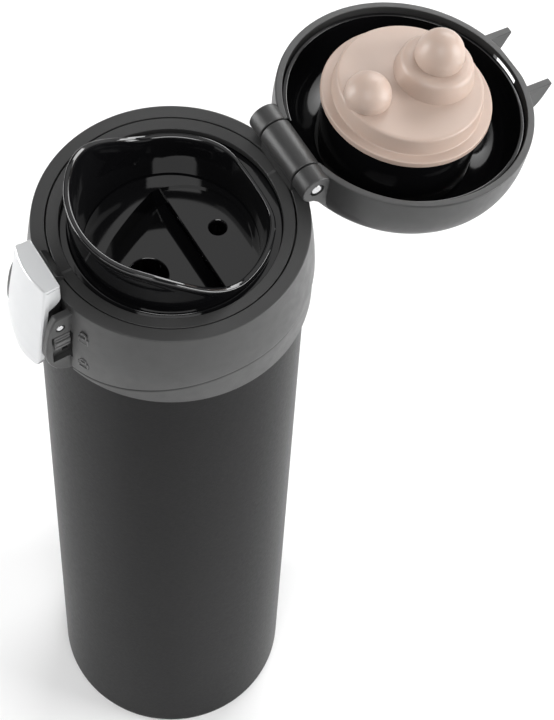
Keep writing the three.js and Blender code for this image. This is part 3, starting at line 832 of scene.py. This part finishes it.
def make_button():
    columns, levels, thick, crown, edge_round = 36, 72, 1.6, 1.3, 0.55
    bottom, top = PLATE[0][0], BUTTON_TOP
    bm = bmesh.new()
    front, back = [], []
    for k in range(levels + 1):
        z = bottom + (top - bottom) * (0.5 - 0.5 * math.cos(math.pi * k / levels))
        half, edge = plate_row(z)
        rows = ([], [])
        for c in range(columns + 1):
            u = math.sin(TAU / 4 * (2 * c / columns - 1))
            x = u * half
            bulge = crown * (1 - u * u) * min(1, half / 6)
            inward = max(0.0, edge_round - min(half - abs(x), top - z, z - bottom))
            fall = edge_round - math.sqrt(edge_round**2 - inward**2)
            rows[0].append(bm.verts.new((x, edge - bulge + fall, z)))
            rows[1].append(bm.verts.new((x, edge + thick, z)))
        front.append(rows[0])
        back.append(rows[1])
    for one, two, f1, f2 in zip(front, front[1:], back, back[1:]):
        for c in range(columns):
            bm.faces.new((one[c], one[c + 1], two[c + 1], two[c]))
            bm.faces.new((f1[c], f2[c], f2[c + 1], f1[c + 1]))
        bm.faces.new((one[0], two[0], f2[0], f1[0]))
        bm.faces.new((one[-1], f1[-1], f2[-1], two[-1]))
    for rows in ((front[0], back[0]), (front[-1], back[-1])):
        for c in range(columns):
            bm.faces.new((rows[0][c], rows[1][c], rows[1][c + 1], rows[0][c + 1]))
    plate = to_object(bm, "push_button_skin")
    claw = rounded([
        (-39.9, 247.9), (-37.2, 249.6, 1), (-35.2, 251.6, 1), (-35.2, top, 0.6), (-38.7, top), (-39.3, 253),
    ])
    claw = eased(slab("claw", claw, -7.8, 7.8, "X"), 0.4, 50)
    half, root, tip, hook_low, hook_high = 4.4, -37.4, -32.5, 254.6, 257.2
    joined(plate, claw)
    carved(
        plate,
        block("seat", (-half - 0.3, half + 0.3), (root - 0.3, -30), (hook_low - 0.3, hook_high + 0.3)),
        block("seam", (7.65, 9), (-39, -35), (257.1, 257.35)),
        block("seam", (-9, -7.65), (-39, -35), (257.1, 257.35)),
    )
    place(plate, "button", SILVER, ["push_button"], angle=30)
    hook = slab("latch_hook_skin", rounded([
        (root, hook_low, 0.2), (tip, hook_low, 0.2), (tip, hook_low + 1, 0.3), (tip - 1.9, hook_high, 0.5),
        (root, hook_high, 0.2),
    ]), -half, half, "X")
    place(eased(hook, 0.2, 50), "button", DARK, ["latch_hook"])
    keep("button_latch", DARK)


def make_lock():
    """A ribbed slider with one high ridge across its middle."""
    bottom, top = low("lock_slider").z, high("lock_slider").z
    knob = eased(block("lock_slider_skin", (9.8, 10.8), (-39.3, -34.8), (bottom, top - 0.4)), 0.25, 50)
    middle = (bottom + top) / 2
    for z, half, proud in ((middle, 0.75, 11.3), (bottom + 1.1, 0.3, 11.05), (top - 1.5, 0.3, 11.05)):
        joined(knob, eased(block("ridge", (10, proud), (-39.1, -35), (z - half, z + half)), 0.2, 50))
    joined(knob, block("tail", (8.1, 10), (-36.5, -35.5), (top - 4.6, top - 1.6)))
    place(knob, "lock", GREY, ["lock_slider"])


# ------------------------------------------------------------------ floor, camera and light
def make_stage():
    bpy.ops.mesh.primitive_plane_add(size=6, location=(0, 0, 0))
    floor = bpy.context.object
    floor.name = "floor"
    mat = material("floor_paint", (0.9, 0.9, 0.9), 0.7)
    tinted(mat, noise(mat, 3, 2), (0.89, 0.89, 0.89), (0.91, 0.91, 0.91))
    floor.data.materials.append(mat)


def make_camera():
    azimuth, elevation, roll = math.radians(55.76), math.radians(59.97), math.radians(-4.1)
    aim, distance = Vector((0.0219, 0.0202, 0.1961)), 0.6659
    along = Vector((-math.sin(azimuth) * math.cos(elevation), math.cos(azimuth) * math.cos(elevation),
                    -math.sin(elevation)))
    right = Vector((math.cos(azimuth), math.sin(azimuth), 0))
    up = right.cross(along)
    tilted = math.cos(roll) * right - math.sin(roll) * up
    data = bpy.data.cameras.new("camera")
    data.lens = 124.1
    data.sensor_width = 36
    camera = bpy.data.objects.new("camera", data)
    bpy.context.collection.objects.link(camera)
    turn = Matrix((tilted, tilted.cross(along), -along)).transposed().to_4x4()
    camera.matrix_world = Matrix.Translation(aim - distance * along) @ turn
    bpy.context.scene.camera = camera


def softbox(name, where, size, power, target=(0, 0, 0.2)):
    data = bpy.data.lights.new(name, "AREA")
    data.shape = "RECTANGLE"
    data.size, data.size_y = size
    data.energy = power
    light = bpy.data.objects.new(name, data)
    bpy.context.collection.objects.link(light)
    light.location = where
    light.rotation_euler = (Vector(target) - Vector(where)).to_track_quat("-Z", "Y").to_euler()


def make_light():
    """Soft boxes all round, under a room that is bright near its horizon and dark overhead."""
    world = bpy.data.worlds.new("studio")
    world.use_nodes = True
    nodes, links = world.node_tree.nodes, world.node_tree.links
    place_node = nodes.new("ShaderNodeTexCoord")
    split = nodes.new("ShaderNodeSeparateXYZ")
    span = nodes.new("ShaderNodeMapRange")
    span.inputs["From Min"].default_value = 0.0
    span.inputs["From Max"].default_value = 0.6
    span.inputs["To Min"].default_value = 0.45
    span.inputs["To Max"].default_value = 0.1
    links.new(place_node.outputs["Generated"], split.inputs["Vector"])
    links.new(split.outputs["Z"], span.inputs["Value"])
    links.new(span.outputs["Result"], nodes["Background"].inputs["Strength"])
    nodes["Background"].inputs["Color"].default_value = (1, 1, 1, 1)
    bpy.context.scene.world = world
    softbox("top", (0.9, -0.6, 1.7), (1.1, 1.1), 20)
    softbox("back_left", (-0.5, 0.35, 1.5), (1.2, 1.2), 2.5)
    softbox("rim", (-0.55, 0.95, 0.75), (0.9, 0.6), 10)
    softbox("right", (0.9, 1.2, 0.6), (1.0, 1.2), 28)
    softbox("left", (-1.0, -1.2, 0.5), (0.7, 1.2), 22)
    bpy.context.scene.view_settings.view_transform = "Standard"


make_flask()
make_collar()
make_mouthpiece()
make_insert()
make_hinge_parts()
make_icons()
make_lid()
make_packing()
make_button()
make_lock()
make_stage()
make_camera()
make_light()
